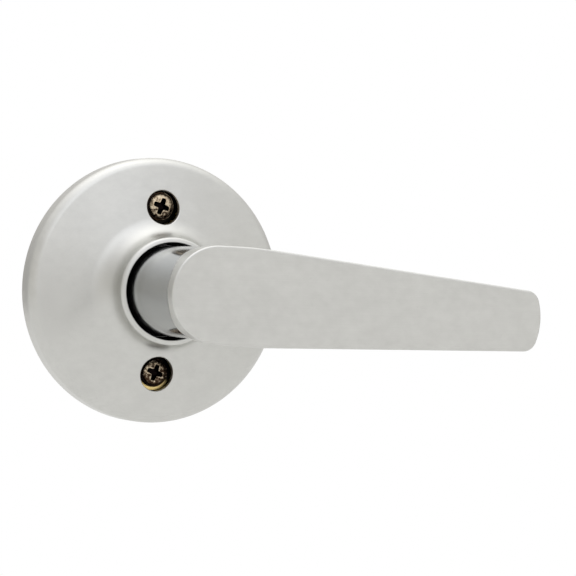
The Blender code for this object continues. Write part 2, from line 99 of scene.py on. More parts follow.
# Sizes of the rose.
ROSE_SHEET = 0.0012
CONE_SLOPE = radians(12.6)
CONE_HEIGHT_AT_SCREWS = 0.0093
SCREW_OFFSET = 0.0209
COLLAR_HOLE_RADIUS = 0.01215
COLLAR_LIP = 0.00127
LIP_SLOPE = radians(16)
SWEEP_RADIUS = 0.0066
RIM_FILLET = 0.0027
LIP_INNER_EDGE = 0.00018
LIP_OUTER_EDGE = 0.0009
ROSE_HOLE_RADIUS = 0.0043
ROSE_HOLE_EDGE = 0.00028
BUSHING_RADIUS = 0.0124
BUSHING_STEP = 0.0104

# Long soft dark streaks on the rose, listed: middle, length, width, slant in degrees and strength.
DARK_STREAKS = [
    (-0.0205, -0.0040, 0.0085, 0.0028, 48, 0.18),
    (-0.0290, -0.0035, 0.0030, 0.0080, 0, 0.12),
    (-0.0150, 0.0060, 0.0100, 0.0020, 40, 0.05),
    (0.0150, -0.0230, 0.0090, 0.0015, 35, 0.06),
    (-0.0030, -0.0270, 0.0070, 0.0014, 50, 0.06),
    (0.0120, 0.0250, 0.0100, 0.0022, -30, 0.05),
]

# Sizes of the lever.
LEVER_TIP = 0.08645
LEVER_DROOP = radians(2.53)
BLADE_DROP = 0.00025
BLADE_TAPER = 0.0612
BLADE_ROOT_HALF_HEIGHT = 0.01266
HUB_RADIUS = 0.0118
HUB_SPREAD = radians(2.06)
SHOULDER_RADIUS = 0.080
BLADE_THICKNESS_HUB = 0.0072
BLADE_THICKNESS_TIP = 0.0060
BLADE_FRONT_EDGE = 0.00045
BLADE_BACK_EDGE = 0.0010
TIP_CROWN_RADIUS = 0.016
TIP_CORNER_RADIUS = 0.0036
HUB_RELIEF = 0.0036
NECK_RADIUS_INNER = 0.01122
NECK_DRAFT = 0.001
NECK_FILLET = 0.0034
NECK_BORE_RADIUS = 0.0088
NECK_BORE_END = 0.0315
PIN_RADIUS = 0.0012
PIN_Z = 0.0125

# Sizes of the fixings behind the rose.
PLATE_THICKNESS = 0.0015
CUP_RADIUS = 0.0047
CUP_WALL = 0.0010
CAGE_RADIUS = 0.0151
CAGE_SHEET = 0.0008
EAR_HALF_HEIGHT = 0.0066
RIVET_RADIUS = 0.0010
RIVET_HEAD = 0.0008
SPRING_WIRE = 0.0014
SPRING_RADIUS = 0.0103
SPRING_LEG_ANGLE = radians(14)
SPRING_LEG_END = 0.0140
SCREW_FLANGE = 0.0006
# Per screw: how bare the crown is rubbed, and a level for the flange rim's painted highlight and shade.
SCREW_WEAR_AND_LIGHT = {"top": (0.58, 0.2), "bottom": (0.36, -0.4)}
SCREW_DOME_RADIUS = 0.0031
SCREW_SHANK_RADIUS = 0.00205
THREAD_PITCH = 0.00079
THREAD_DEPTH = 0.00042
THREADED_LENGTH = 0.026
RECESS_SPAN = 0.0042
RECESS_ARM = 0.00115
RECESS_DEPTH = 0.0017
RECESS_TURN = radians(-19)
SLEEVE_FLAT = 0.0072
GROOVE_RADIUS = 0.0076
CAM_DISC_FRONT = -0.0018
CAM_TAB = (0.0114, 0.0124)
CAM_TAB_HALF = 0.0019
LEVER_TRAVEL = radians(50)
GAP = 0.0003
SLEEVE_HOLE = SLEEVE_RADIUS + GAP + 0.0001

FINE = radians(6)
ROUND = 192

# The camera: its distance, where it stands, the line it looks back along, its roll and its lens.
CAMERA_DISTANCE = 0.8
CAMERA_STAND = (-19.916, 0.274)
CAMERA_LINE = (-22.46, 0.135)
CAMERA_ROLL = radians(2.284)
CAMERA_LENS = 197.1

# The studio: each light is a soft lobe of the world, as azimuth, elevation, tightness and colour, and one
# below zero is a dark patch. Directions and tightness were chosen. The colours and AMBIENT were worked
# out by a separate least-squares program and pasted in: they are fitted data, not a design.
FLOOR_DROP = 0.30
AMBIENT = (0.54, 0.53, 0.52)
STUDIO_LIGHTS = {
    "front_wide": (25, 0, 2.0, (0.20, 0.20, 0.20)),
    "front_right": (45, 0, 6.0, (0.20, 0.20, 0.19)),
    "front_left": (-45, 0, 6.0, (0.16, 0.15, 0.13)),
    "left": (-95, 0, 6.0, (0.12, 0.12, 0.10)),
    "behind_right": (140, 0, 5.0, (0.15, 0.14, 0.14)),
    "front_high": (10, 35, 8.0, (0.06, 0.07, 0.11)),
    "left_high": (-35, 45, 8.0, (0.08, 0.09, 0.12)),
    "key": (-22, 38, 25.0, (0.23, 0.24, 0.25)),
    "key_top": (-30, 62, 25.0, (0.22, 0.22, 0.23)),
    "key_right": (12, 52, 25.0, (0.19, 0.19, 0.20)),
    "overhead": (0, 90, 5.0, (1.12, 1.12, 1.13)),
    "left_top": (-100, 60, 8.0, (0.10, 0.10, 0.12)),
    "right_high": (80, 45, 6.0, (0.19, 0.20, 0.20)),
    "behind_high": (180, 50, 4.0, (0.55, 0.55, 0.54)),
    "front_low": (15, -35, 6.0, (0.08, 0.07, 0.06)),
    "left_low": (-70, -35, 5.0, (0.15, 0.14, 0.13)),
    "right_low": (80, -35, 5.0, (0.03, 0.03, 0.03)),
    "key_low": (-18, 24, 30.0, (0.21, 0.22, 0.23)),
    "key_middle": (-5, 32, 25.0, (0.43, 0.44, 0.46)),
    "dark_behind": (175, 5, 6.0, (-0.34, -0.34, -0.34)),
}


# Outlines: lists of 2D points.


def arc(radius, start, end, centre=(0, 0), step=FINE):
    steps = max(1, ceil(abs(end - start) / step - 1e-6))
    turns = [start + (end - start) * index / steps for index in range(steps + 1)]
    return [Vector((centre[0] + radius * cos(a), centre[1] + radius * sin(a))) for a in turns]


def circle(radius, sides=96, centre=(0, 0)):
    return arc(radius, 0, tau, centre, tau / sides)[:-1]


def rounded(corners, step=FINE):
    """A closed outline through (x, y, fillet radius) corners, with each fillet as an arc."""
    points = []
    for index, (x, y, radius) in enumerate(corners):
        corner = Vector((x, y))
        if not radius:
            points.append(corner)
            continue
        back = (Vector(corners[index - 1][:2]) - corner).normalized()
        ahead = (Vector(corners[(index + 1) % len(corners)][:2]) - corner).normalized()
        half = back.angle(ahead) / 2
        centre = corner + (back + ahead).normalized() * radius / sin(half)
        start = corner + back * radius / tan(half) - centre
        first = atan2(start.y, start.x)
        turn = copysign(pi - 2 * half, ahead.cross(back))
        points += arc(radius, first, first + turn, centre, step)
    return points


def square(half, fillet, step=FINE):
    corners = [(-half, -half, fillet), (half, -half, fillet), (half, half, fillet), (-half, half, fillet)]
    return rounded(corners, step)


def arc_slot(inner, outer, half_angle, middle):
    """A slot that follows a circle, with rounded ends."""
    radius = (outer - inner) / 2
    mid = (outer + inner) / 2
    ends = []
    for side in (1, -1):
        angle = middle + side * (half_angle - radius / mid)
        centre = (mid * cos(angle), mid * sin(angle))
        ends.append(arc(radius, angle, angle + side * pi, centre, radians(20)))
    limit = half_angle - radius / mid
    there = arc(outer, middle - limit, middle + limit, step=radians(3))
    back = arc(inner, middle + limit, middle - limit, step=radians(3))
    return there + ends[0][1:-1] + back + ends[1][::-1][1:-1]


def divided(points, longest, closed=True):
    """The same outline with its long stretches cut into pieces no longer than longest."""
    made = []
    last = len(points) if closed else len(points) - 1
    for index in range(last):
        start, end = points[index], points[(index + 1) % len(points)]
        pieces = max(1, ceil((end - start).length / longest))
        made += [start.lerp(end, step / pieces) for step in range(pieces)]
    return made if closed else made + [points[-1]]


# Meshes. Each is drawn facing the door and then stood upright.


def placed(name, data):
    """A new object of some data, in the scene."""
    made = bpy.data.objects.new(name, data)
    bpy.context.scene.collection.objects.link(made)
    return made


def settled(name, shape):
    """A mesh made of a bmesh, which is freed."""
    mesh = bpy.data.meshes.new(name)
    shape.to_mesh(mesh)
    shape.free()
    return mesh


def finished(name, shape, body, slot, stands_for, sharp=35):
    """Makes a piece of a bmesh, with its body, its material slot and the CAD node it stands for."""
    bmesh.ops.remove_doubles(shape, verts=shape.verts, dist=1e-7)
    bmesh.ops.recalc_face_normals(shape, faces=shape.faces)
    bmesh.ops.transform(shape, matrix=FACING, verts=shape.verts)
    mesh = settled(name, shape)
    mesh.shade_smooth()
    mesh.set_sharp_from_angle(angle=radians(sharp))
    made = placed(name, mesh)
    made.data.materials.append(MATERIALS[slot])
    even = made.modifiers.new("even_normals", "WEIGHTED_NORMAL")
    even.keep_sharp = True
    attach(made, body)
    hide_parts(stands_for)
    return made


def skin(shape, rings, closed=True):
    """Joins equal rings of bmesh vertices with faces."""
    pairs = list(zip(rings, rings[1:]))
    if closed:
        pairs.append((rings[-1], rings[0]))
    for ring, following in pairs:
        count = len(ring)
        for index in range(count):
            beyond = (index + 1) % count
            corners = (ring[index], ring[beyond], following[beyond], following[index])
            distinct = list(dict.fromkeys(corners))
            if len(distinct) > 2:
                shape.faces.new(distinct)


def ring_at(shape, spots, z):
    return [shape.verts.new((spot.x, spot.y, z)) for spot in spots]


def lofted(shape, rings):
    """Joins equal rings with faces and closes both ends."""
    skin(shape, rings, closed=False)
    shape.faces.new(rings[0])
    shape.faces.new(rings[-1])


def revolved(outline, sides=ROUND, centre=(0, 0), closed=True):
    """A bmesh of an outline of (radius, z) points turned about the z axis."""
    shape = bmesh.new()
    rings = []
    for radius, z in outline:
        if radius < 1e-7:
            rings.append([shape.verts.new((centre[0], centre[1], z))] * sides)
            continue
        spots = circle(radius, sides, centre)
        rings.append(ring_at(shape, spots, z))
    skin(shape, rings, closed)
    return shape


def pressed(outlines, low, high, edge):
    """A bmesh of a flat piece with rounded edges, from its outer outline and those of its holes."""
    curve = bpy.data.curves.new("outline", "CURVE")
    curve.dimensions = "2D"
    curve.fill_mode = "BOTH"
    curve.bevel_depth = edge
    curve.bevel_resolution = 2
    curve.offset = -edge
    curve.extrude = (high - low) / 2 - edge
    for outline in outlines:
        spline = curve.splines.new("POLY")
        spline.points.add(len(outline) - 1)
        spline.use_cyclic_u = True
        for slot, point in zip(spline.points, outline):
            slot.co = (point[0], point[1], 0, 1)
    drawn = placed("outline", curve)
    mesh = bpy.data.meshes.new_from_object(drawn.evaluated_get(bpy.context.evaluated_depsgraph_get()))
    shape = bmesh.new()
    shape.from_mesh(mesh)
    bmesh.ops.translate(shape, vec=(0, 0, (low + high) / 2), verts=shape.verts)
    bmesh.ops.remove_doubles(shape, verts=shape.verts, dist=1e-6)
    bpy.data.objects.remove(drawn, do_unlink=True)
    bpy.data.meshes.remove(mesh)
    return shape


def tube(path, radius, sides=20):
    """A bmesh of a round wire along 3D points, with domed ends."""
    shape = bmesh.new()
    rings = []
    ahead = (path[1] - path[0]).normalized()
    across = ahead.orthogonal().normalized()
    count = len(path)
    for index, spot in enumerate(path):
        ahead = (path[min(index + 1, count - 1)] - path[max(index - 1, 0)]).normalized()
        across = (across - ahead * across.dot(ahead)).normalized()
        upward = ahead.cross(across)
        rings.append(wire_ring(shape, spot, across, upward, radius, sides))
        if index in (0, count - 1):
            side = -1 if index == 0 else 1
            dome = []
            for turn in (30, 60):
                drop = radius * 0.5 * sin(radians(turn)) * side
                width = radius * cos(radians(turn))
                dome.append(wire_ring(shape, spot + ahead * drop, across, upward, width, sides))
            if index == 0:
                rings = dome[::-1] + rings
            else:
                rings += dome
    lofted(shape, rings)
    return shape


def wire_ring(shape, spot, across, upward, radius, sides):
    turns = [tau * index / sides for index in range(sides)]
    return [shape.verts.new(spot + (across * cos(a) + upward * sin(a)) * radius) for a in turns]


def boolean(shape, others, operation):
    """The bmesh joined with, or cut by, other bmeshes."""
    scratch = [as_object(shape)] + [as_object(other) for other in others]
    for other in scratch[1:]:
        step = scratch[0].modifiers.new("step", "BOOLEAN")
        step.operation = operation
        step.object = other
    graph = bpy.context.evaluated_depsgraph_get()
    mesh = bpy.data.meshes.new_from_object(scratch[0].evaluated_get(graph))
    made = bmesh.new()
    made.from_mesh(mesh)
    for used in scratch:
        bpy.data.objects.remove(used, do_unlink=True)
    return made


def as_object(shape):
    bmesh.ops.recalc_face_normals(shape, faces=shape.faces)
    return placed("scratch", settled("scratch", shape))


def block(low, high):
    shape = bmesh.new()
    low, high = Vector(low), Vector(high)
    bmesh.ops.create_cube(shape, size=1)
    bmesh.ops.scale(shape, vec=high - low, verts=shape.verts)
    bmesh.ops.translate(shape, vec=(low + high) / 2, verts=shape.verts)
    return shape


def crossbar(outline):
    """A turned piece that lies along y through the cross pin's axis."""
    shape = revolved(outline, 48, closed=False)
    bmesh.ops.rotate(shape, matrix=Matrix.Rotation(pi / 2, 3, "X"), verts=shape.verts)
    bmesh.ops.translate(shape, vec=(0, 0, PIN_Z), verts=shape.verts)
    return shape


def pin_hole():
    """A cutter for the cross pin's hole, which runs past both sides of the neck."""
    radius, reach = PIN_RADIUS + GAP, 0.015
    return crossbar([(0, reach), (radius, reach), (radius, -reach), (0, -reach)])


def mark(made, name, measure):
    """Stores a number on each vertex, worked out from its place as seen facing the door."""
    values = made.data.attributes.new(name, "FLOAT", "POINT")
    for vertex, value in zip(made.data.vertices, values.data):
        value.value = measure(Vector((vertex.co.x, vertex.co.z, -vertex.co.y)))


# Materials.


class Recipe:
    """A node material with short calls for the nodes that these finishes share."""

    def __init__(self, name):
        self.material = bpy.data.materials.new(name)
        self.material.use_nodes = True
        self.tree = self.material.node_tree
        self.shader = self.tree.nodes["Principled BSDF"]
        self.place = self.add("ShaderNodeTexCoord").outputs["Object"]

    def add(self, kind, **settings):
        node = self.tree.nodes.new(kind)
        for key, value in settings.items():
            setattr(node, key, value)
        return node

    def link(self, source, target):
        self.tree.links.new(source, target)

    def stretched(self, scale, turn=(0, 0, 0)):
        node = self.add("ShaderNodeMapping")
        node.inputs["Location"].default_value = (0.37, 0.53, 0.71)
        node.inputs["Scale"].default_value = scale
        node.inputs["Rotation"].default_value = turn
        self.link(self.place, node.inputs["Vector"])
        return node.outputs["Vector"]

    def noise(self, vector, scale, detail=3.0, roughness=0.55):
        node = self.add("ShaderNodeTexNoise")
        node.inputs["Scale"].default_value = scale
        node.inputs["Detail"].default_value = detail
        node.inputs["Roughness"].default_value = roughness
        self.link(vector, node.inputs["Vector"])
        return node.outputs["Fac"]

    def ranged(self, value, low, high, to_low, to_high):
        node = self.add("ShaderNodeMapRange", clamp=True)
        node.inputs["From Min"].default_value = low
        node.inputs["From Max"].default_value = high
        node.inputs["To Min"].default_value = to_low
        node.inputs["To Max"].default_value = to_high
        self.link(value, node.inputs["Value"])
        return node.outputs["Result"]

    def combined(self, operation, first, second):
        node = self.add("ShaderNodeMath", operation=operation)
        for socket, value in zip(node.inputs, (first, second)):
            if isinstance(value, (int, float)):
                socket.default_value = value
            else:
                self.link(value, socket)
        return node.outputs[0]

    def sum(self, first, second):
        return self.combined("ADD", first, second)

    def product(self, first, second):
        return self.combined("MULTIPLY", first, second)

    def carried(self, name):
        """A number that the mesh carries on its vertices."""
        return self.add("ShaderNodeAttribute", attribute_name=name).outputs["Fac"]

    def ramp(self, value, stops):
        """A colour ramp of (position, linear colour) stops."""
        node = self.add("ShaderNodeValToRGB")
        elements = node.color_ramp.elements
        while len(elements) < len(stops):
            elements.new(0.5)
        for element, (position, colour) in zip(elements, stops):
            element.position = position
            element.color = (*colour, 1)
        self.link(value, node.inputs["Fac"])
        return node.outputs["Color"]

    def mixed(self, share, first, second):
        node = self.add("ShaderNodeMix", data_type="RGBA")
        for socket, value in ((node.inputs[0], share), (node.inputs[6], first), (node.inputs[7], second)):
            if isinstance(value, tuple):
                socket.default_value = (*value, 1)
            elif isinstance(value, (int, float)):
                socket.default_value = value
            else:
                self.link(value, socket)
        return node.outputs[2]

    def surface(self, colour, roughness, metallic, height=None, strength=0.1, depth=0.0001):
        self.link(colour, self.shader.inputs["Base Color"])
        self.link(roughness, self.shader.inputs["Roughness"])
        self.shader.inputs["Metallic"].default_value = metallic
        if height is not None:
            bump = self.add("ShaderNodeBump")
            bump.inputs["Strength"].default_value = strength
            bump.inputs["Distance"].default_value = depth
            self.link(height, bump.inputs["Height"])
            self.link(bump.outputs["Normal"], self.shader.inputs["Normal"])
        return self.material


def satin(name, shade, low, high, buffed):
    """Satin plate: fine straight brushing, clouds, specks and long dark streaks, smoother where polished.
    """
    recipe = Recipe(name)
    brushing = recipe.noise(recipe.stretched((60, 9000, 9000)), 1.0, 4.0)
    fine = recipe.noise(recipe.stretched((300, 16000, 16000)), 1.0, 2.0)
    clouds = recipe.noise(recipe.place, 60.0, 2.0)
    mottle = recipe.noise(recipe.stretched((1, 1.5, 1.5), (0, radians(35), 0)), 330.0, 4.0, 0.6)
    specks = recipe.ranged(recipe.noise(recipe.place, 1500.0, 1.0), 0.72, 0.80, 0.0, 0.10)
    streaks = recipe.sum(recipe.product(brushing, 0.7), recipe.product(fine, 0.3))
    blotches = recipe.sum(recipe.product(clouds, 0.3), recipe.product(mottle, 0.4))
    tone = recipe.sum(blotches, recipe.product(streaks, 0.3))
    dark, light = [tuple(channel * factor for channel in shade) for factor in (0.91, 1.08)]
    colour = recipe.ramp(tone, [(0.3, dark), (0.7, light)])
    colour = recipe.mixed(specks, colour, tuple(channel * 0.6 for channel in shade))
    dark_streak = recipe.carried("dark_streak")
    ragged = recipe.product(dark_streak, recipe.ranged(mottle, 0.35, 0.65, 0.5, 1.5))
    colour = recipe.mixed(ragged, colour, tuple(channel * 0.5 for channel in shade))
    polish = recipe.carried("polish")
    colour = recipe.mixed(polish, colour, (0.46, 0.47, 0.475))
    brushed = recipe.sum(
        recipe.ranged(streaks, 0.3, 0.7, low, high), recipe.ranged(blotches, 0.25, 0.45, -0.03, 0.03)
    )
    buffing = recipe.ranged(polish, 0.0, 1.0, 0.0, (low + high) / 2 - buffed)
    smoothing = recipe.product(buffing, -1.0)
    return recipe.surface(colour, recipe.sum(brushed, smoothing), 1.0, streaks, 0.05, 0.00002)


def yellow_zinc():
    """Zinc plate passivated yellow, with patches that lean green and pink."""
    recipe = Recipe("yellow_zinc")
    patches = recipe.noise(recipe.place, 90.0, 4.0, 0.6)
    grain = recipe.noise(recipe.place, 2500.0, 3.0)
    colour = recipe.ramp(
        patches,
        [
            (0.30, (0.56, 0.56, 0.24)),
            (0.45, (0.82, 0.65, 0.26)),
            (0.58, (0.86, 0.66, 0.30)),
            (0.72, (0.74, 0.48, 0.34)),
        ],
    )
    # Painted shade: the screw cups go near black, as the mesh's attribute says.
    painted_shade = recipe.carried("painted_shade")
    colour = recipe.mixed(painted_shade, colour, (0.010, 0.009, 0.007))
    return recipe.surface(colour, recipe.ranged(grain, 0.3, 0.7, 0.26, 0.38), 1.0, grain, 0.08, 0.00002)


def bronzed_steel():
    """Dark bronze plate, bared to tan by real rubbing and by a painted highlight on the flange rims,
    and near black where the mesh paints shade.
    """
    recipe = Recipe("bronzed_steel")
    wear_and_painted_light = recipe.carried("wear_and_painted_light")
    blotches = recipe.noise(recipe.place, 1500.0, 4.0, 0.65)
    patchy = recipe.sum(wear_and_painted_light, recipe.ranged(blotches, 0.3, 0.7, -0.5, 0.5))
    worn_and_lit = recipe.ranged(patchy, 0.35, 0.75, 0.0, 1.0)
    plate = recipe.ramp(blotches, [(0.3, (0.020, 0.012, 0.008)), (0.7, (0.09, 0.05, 0.028))])
    bare = recipe.ramp(blotches, [(0.35, (0.42, 0.31, 0.20)), (0.65, (0.74, 0.64, 0.48))])
    # Painted shade: near black where the value falls below zero, in the recess and round the dome's side.
    painted_shade = recipe.ranged(wear_and_painted_light, -0.7, -0.1, 1.0, 0.0)
    colour = recipe.mixed(painted_shade, recipe.mixed(worn_and_lit, plate, bare), (0.006, 0.004, 0.004))
    roughness = recipe.ranged(blotches, 0.3, 0.7, 0.30, 0.48)
    return recipe.surface(colour, roughness, 1.0, blotches, 0.25, 0.00005)


def plain_steel():
    recipe = Recipe("plain_steel")
    mill = recipe.noise(recipe.stretched((900, 900, 6000)), 1.0, 3.0)
    clouds = recipe.noise(recipe.place, 140.0, 3.0)
    colour = recipe.ramp(clouds, [(0.3, (0.44, 0.45, 0.47)), (0.7, (0.58, 0.58, 0.58))])
    return recipe.surface(colour, recipe.ranged(mill, 0.3, 0.7, 0.28, 0.42), 1.0, mill, 0.08, 0.00002)


def spring_steel():
    recipe = Recipe("spring_steel")
    drawn = recipe.noise(recipe.place, 900.0, 3.0)
    colour = recipe.ramp(drawn, [(0.3, (0.12, 0.12, 0.13)), (0.7, (0.22, 0.21, 0.21))])
    return recipe.surface(colour, recipe.ranged(drawn, 0.3, 0.7, 0.28, 0.40), 1.0, drawn, 0.1, 0.00002)


def black_nylon():
    recipe = Recipe("black_nylon")
    grain = recipe.noise(recipe.place, 3000.0, 2.0)
    colour = recipe.ramp(grain, [(0.3, (0.003, 0.003, 0.003)), (0.7, (0.006, 0.006, 0.006))])
    recipe.shader.inputs["Specular IOR Level"].default_value = 0.2
    return recipe.surface(colour, recipe.ranged(grain, 0.3, 0.7, 0.48, 0.62), 0.0, grain, 0.15, 0.00003)


MATERIALS = {
    "satin_metal": satin("satin_metal", (0.60, 0.60, 0.575), 0.34, 0.40, 0.16),
    "yellow_zinc": yellow_zinc(),
    "bronzed_steel": bronzed_steel(),
    "plain_steel": plain_steel(),
    "spring_steel": spring_steel(),
    "black_nylon": black_nylon(),
}


# The fixed pieces.


def rose_outline():
    """The rose's section: lip, outer side down to the rim, and back up the inner side of the sheet."""
    slope = tan(CONE_SLOPE)
    lip_x = COLLAR_HOLE_RADIUS + COLLAR_LIP
    lip_z = COLLAR_HEIGHT - COLLAR_LIP * tan(LIP_SLOPE)
    flank = Vector((0.0004, -0.0069))

    def on_cone(x, drop=0.0):
        return CONE_HEIGHT_AT_SCREWS + (SCREW_OFFSET - x) * slope - drop

    def sweep_corner(start, drop):
        steep = flank.y / flank.x
        x = (on_cone(0, drop) - start.y + steep * start.x) / (steep + slope)
        return x, on_cone(x, drop)

    outer_sweep = sweep_corner(Vector((lip_x, lip_z)), 0)
    drop = ROSE_SHEET / cos(CONE_SLOPE)
    inner_sweep = sweep_corner(Vector((COLLAR_HOLE_RADIUS, COLLAR_HEIGHT)), drop)
    inside = ROSE_RADIUS - ROSE_SHEET
    return rounded(
        [
            (COLLAR_HOLE_RADIUS, COLLAR_HEIGHT, LIP_INNER_EDGE),
            (lip_x, lip_z, LIP_OUTER_EDGE),
            (*outer_sweep, SWEEP_RADIUS),
            (ROSE_RADIUS, on_cone(ROSE_RADIUS), RIM_FILLET),
            (ROSE_RADIUS, 0, 0.0002),
            (inside, 0, 0.0002),
            (inside, on_cone(inside, drop), RIM_FILLET - ROSE_SHEET),
            (*inner_sweep, SWEEP_RADIUS + ROSE_SHEET),
        ],
        step=radians(4),
    )


def surface_height(outline, radius):
    """The highest point of a section at a radius."""
    heights = []
    for start, end in zip(outline, outline[1:] + outline[:1]):
        if (start.x - radius) * (end.x - radius) <= 0 and start.x != end.x:
            heights.append(start.y + (end.y - start.y) * (radius - start.x) / (end.x - start.x))
    return max(heights)


def hole_cutter(outline, centre):
    """A cylinder that flares where it meets the rose's surface, to leave a rounded edge."""
    shape = bmesh.new()
    rings = []
    sides = 96
    for order, turn in enumerate((0, 0, 20, 40, 60, 78)):
        ring = []
        for index in range(sides):
            angle = tau * index / sides
            spread = ROSE_HOLE_EDGE * (1 - cos(radians(turn)))
            out = Vector((cos(angle), sin(angle)))
            spot = Vector(centre[:2]) + out * (ROSE_HOLE_RADIUS + spread)
            z = surface_height(outline, spot.length) - ROSE_HOLE_EDGE * (1 - sin(radians(turn)))
            ring.append(shape.verts.new((spot.x, spot.y, 0.002 if order == 0 else z)))
        rings.append(ring)
    lid = []
    for vertex in rings[-1]:
        out = (vertex.co - centre).normalized() * 0.0003
        lid.append(shape.verts.new(vertex.co + out + Vector((0, 0, 0.0006))))
    rings.append(lid)
    lofted(shape, rings)
    return shape


def make_rose():
    outline = rose_outline()
    shape = revolved(divided(outline, 0.0012))
    cutters = [hole_cutter(outline, Vector((0, side * SCREW_OFFSET, 0))) for side in (1, -1)]
    made = finished("rose_shell", boolean(shape, cutters, "DIFFERENCE"), "mounting", "satin_metal", "rose")
    mark(made, "dark_streak", streak_darkness)


def streak_darkness(spot):
    """How much the rose is darkened at a point, from a few long soft streaks."""
    total = 0.0
    for x, y, length, width, turn, strength in DARK_STREAKS:
        from_middle = Matrix.Rotation(-radians(turn), 2) @ Vector((spot.x - x, spot.y - y))
        total += strength * exp(-(from_middle.x / length) ** 2 - (from_middle.y / width) ** 2)
    return total


def make_bushing():
    inner = NECK_RADIUS_INNER + GAP + 0.0001
    low, top = BUSHING_LOW.z, BUSHING_HIGH.z
    flange = BUSHING_HIGH.x
    outline = rounded(
        [
            (inner, top, 0.0003),
            (BUSHING_RADIUS, top, 0.0003),
            (BUSHING_RADIUS, BUSHING_STEP, 0.0002),
            (flange, BUSHING_STEP, 0.0002),
            (flange, low, 0.0002),
            (inner, low, 0.0002),
        ],
        step=radians(20),
    )
    finished("collar_bush", revolved(outline, 128), "mounting", "black_nylon", "collar_bushing")


def make_plate():
    slot = (CAM_TAB[0] - GAP, hypot(CAM_TAB[1], CAM_TAB_HALF) + GAP)
    half_angle = LEVER_TRAVEL + atan2(CAM_TAB_HALF, CAM_TAB[0]) + radians(1.6)
    holes = [circle(SLEEVE_HOLE)]
    holes += [arc_slot(*slot, half_angle, middle) for middle in (0, pi)]
    holes += [circle(CUP_RADIUS - CUP_WALL / 2, 48, spot) for spot in SCREWS.values()]
    holes += [circle(RIVET_RADIUS + GAP, 24, spot) for spot in RIVETS.values()]
    shape = pressed([circle(PLATE_RADIUS, 144), *holes], 0, PLATE_THICKNESS, 0.0002)
    hole = SCREW_SHANK_RADIUS + 0.0006
    wall = CUP_RADIUS - CUP_WALL
    outline = rounded(
        [
            (hole, CUP_HEIGHT, 0.0002),
            (CUP_RADIUS, CUP_HEIGHT, 0.0003),
            (CUP_RADIUS, 0.0002, 0),
            (wall, 0.0002, 0),
            (wall, CUP_HEIGHT - CUP_WALL, 0.0004),
            (hole, CUP_HEIGHT - CUP_WALL, 0.0002),
        ],
        step=radians(15),
    )
    cups = [revolved(outline, 60, spot) for spot in SCREWS.values()]
    shape = boolean(shape, cups, "UNION")
    made = finished("back_plate", shape, "mounting", "yellow_zinc", "mounting_plate")
    # Painted shade on the screw cups.
    mark(made, "painted_shade", cup_painted_shade)


def cup_painted_shade(spot):
    """Painted shade: darkens a screw's cup, apart from a crescent on the lower side of the bottom one."""
    for label, centre in SCREWS.items():
        x, y = spot.x - centre.x, spot.y - centre.y
        if hypot(x, y) < CUP_RADIUS + GAP and spot.z > PLATE_THICKNESS + GAP:
            from_below = degrees(abs(atan2(x, -y)))
            return smooth(from_below, 54, 68) if label == "bottom" else 1.0
    return 0.0


def screw_outline(seat):
    """A washer-head screw's section, from the middle of its domed head down to the shank."""
    flange = seat + SCREW_FLANGE
    head = []
    for step in range(16):
        turn = radians(90) * step / 16
        across, upward = sin(turn) ** 0.77, cos(turn) ** 0.77
        head.append(Vector((SCREW_DOME_RADIUS * across, flange + (SCREW_HEAD_TOP - flange) * upward)))
    return head + rounded(
        [
            (SCREW_DOME_RADIUS, flange, 0),
            (SCREW_FLANGE_RADIUS, flange - 0.0001, 0.00028),
            (SCREW_FLANGE_RADIUS, seat, 0.00018),
            (SCREW_SHANK_RADIUS, seat, 0.0002),
            (SCREW_SHANK_RADIUS, SCREW_TIP + THREADED_LENGTH, 0),
        ],
        radians(15),
    )


def threaded(shape, top, low, centre, sides=48):
    """Adds a screw thread from z = top down to low, as a skin whose radius follows the helix."""
    rings = []
    steps = round((top - low) / THREAD_PITCH * 8)
    for step in range(steps + 1):
        z = top + (low - top) * step / steps
        ring = []
        for index in range(sides):
            angle = tau * index / sides
            phase = (z / THREAD_PITCH + index / sides) % 1
            depth = THREAD_DEPTH * (1 - abs(2 * phase - 1))
            fade = min(1, (top - z) / THREAD_PITCH / 1.5)
            point = min(1, 0.35 + (z - low) / THREAD_PITCH / 2)
            radius = (SCREW_SHANK_RADIUS - depth * fade) * (0.82 + 0.18 * point)
            x, y = centre.x + radius * cos(angle), centre.y + radius * sin(angle)
            ring.append(shape.verts.new((x, y, z)))
        rings.append(ring)
    skin(shape, rings, closed=False)
    shape.faces.new(rings[-1])


def cross_cutter(centre):
    """A cross-shaped plug that narrows as it goes in, for the drive recess."""
    shape = bmesh.new()
    levels = [(0.0006, 1.18, 1.10), (0.0, 1.06, 1.0), (-0.0004, 0.95, 0.88), (-RECESS_DEPTH, 0.50, 0.70)]
    rings = []
    for height, reach, width in levels:
        half, span = RECESS_ARM / 2 * width, RECESS_SPAN / 2 * reach
        corners = []
        for quarter in range(4):
            turn = Matrix.Rotation(quarter * pi / 2 + RECESS_TURN, 2)
            inner = half * 1.25
            for x, y, radius in ((span, -half, 0.0003), (span, half, 0.0003), (inner, inner, 0.0002)):
                spot = turn @ Vector((x, y)) + Vector(centre[:2])
                corners.append((spot.x, spot.y, radius * width))
        ring = rounded(corners, radians(30))
        rings.append(ring_at(shape, ring, SCREW_HEAD_TOP + height))
    lofted(shape, rings)
    return shape


def recess_gap(x, y):
    """How far a point of the screw's crown lies outside the edge of the cross recess."""
    turn = Matrix.Rotation(-RECESS_TURN, 2) @ Vector((x, y))
    along, across = abs(turn.x), abs(turn.y)
    half, span = RECESS_ARM / 2, RECESS_SPAN / 2
    return min(max(along - half, across - span), max(across - half, along - span))


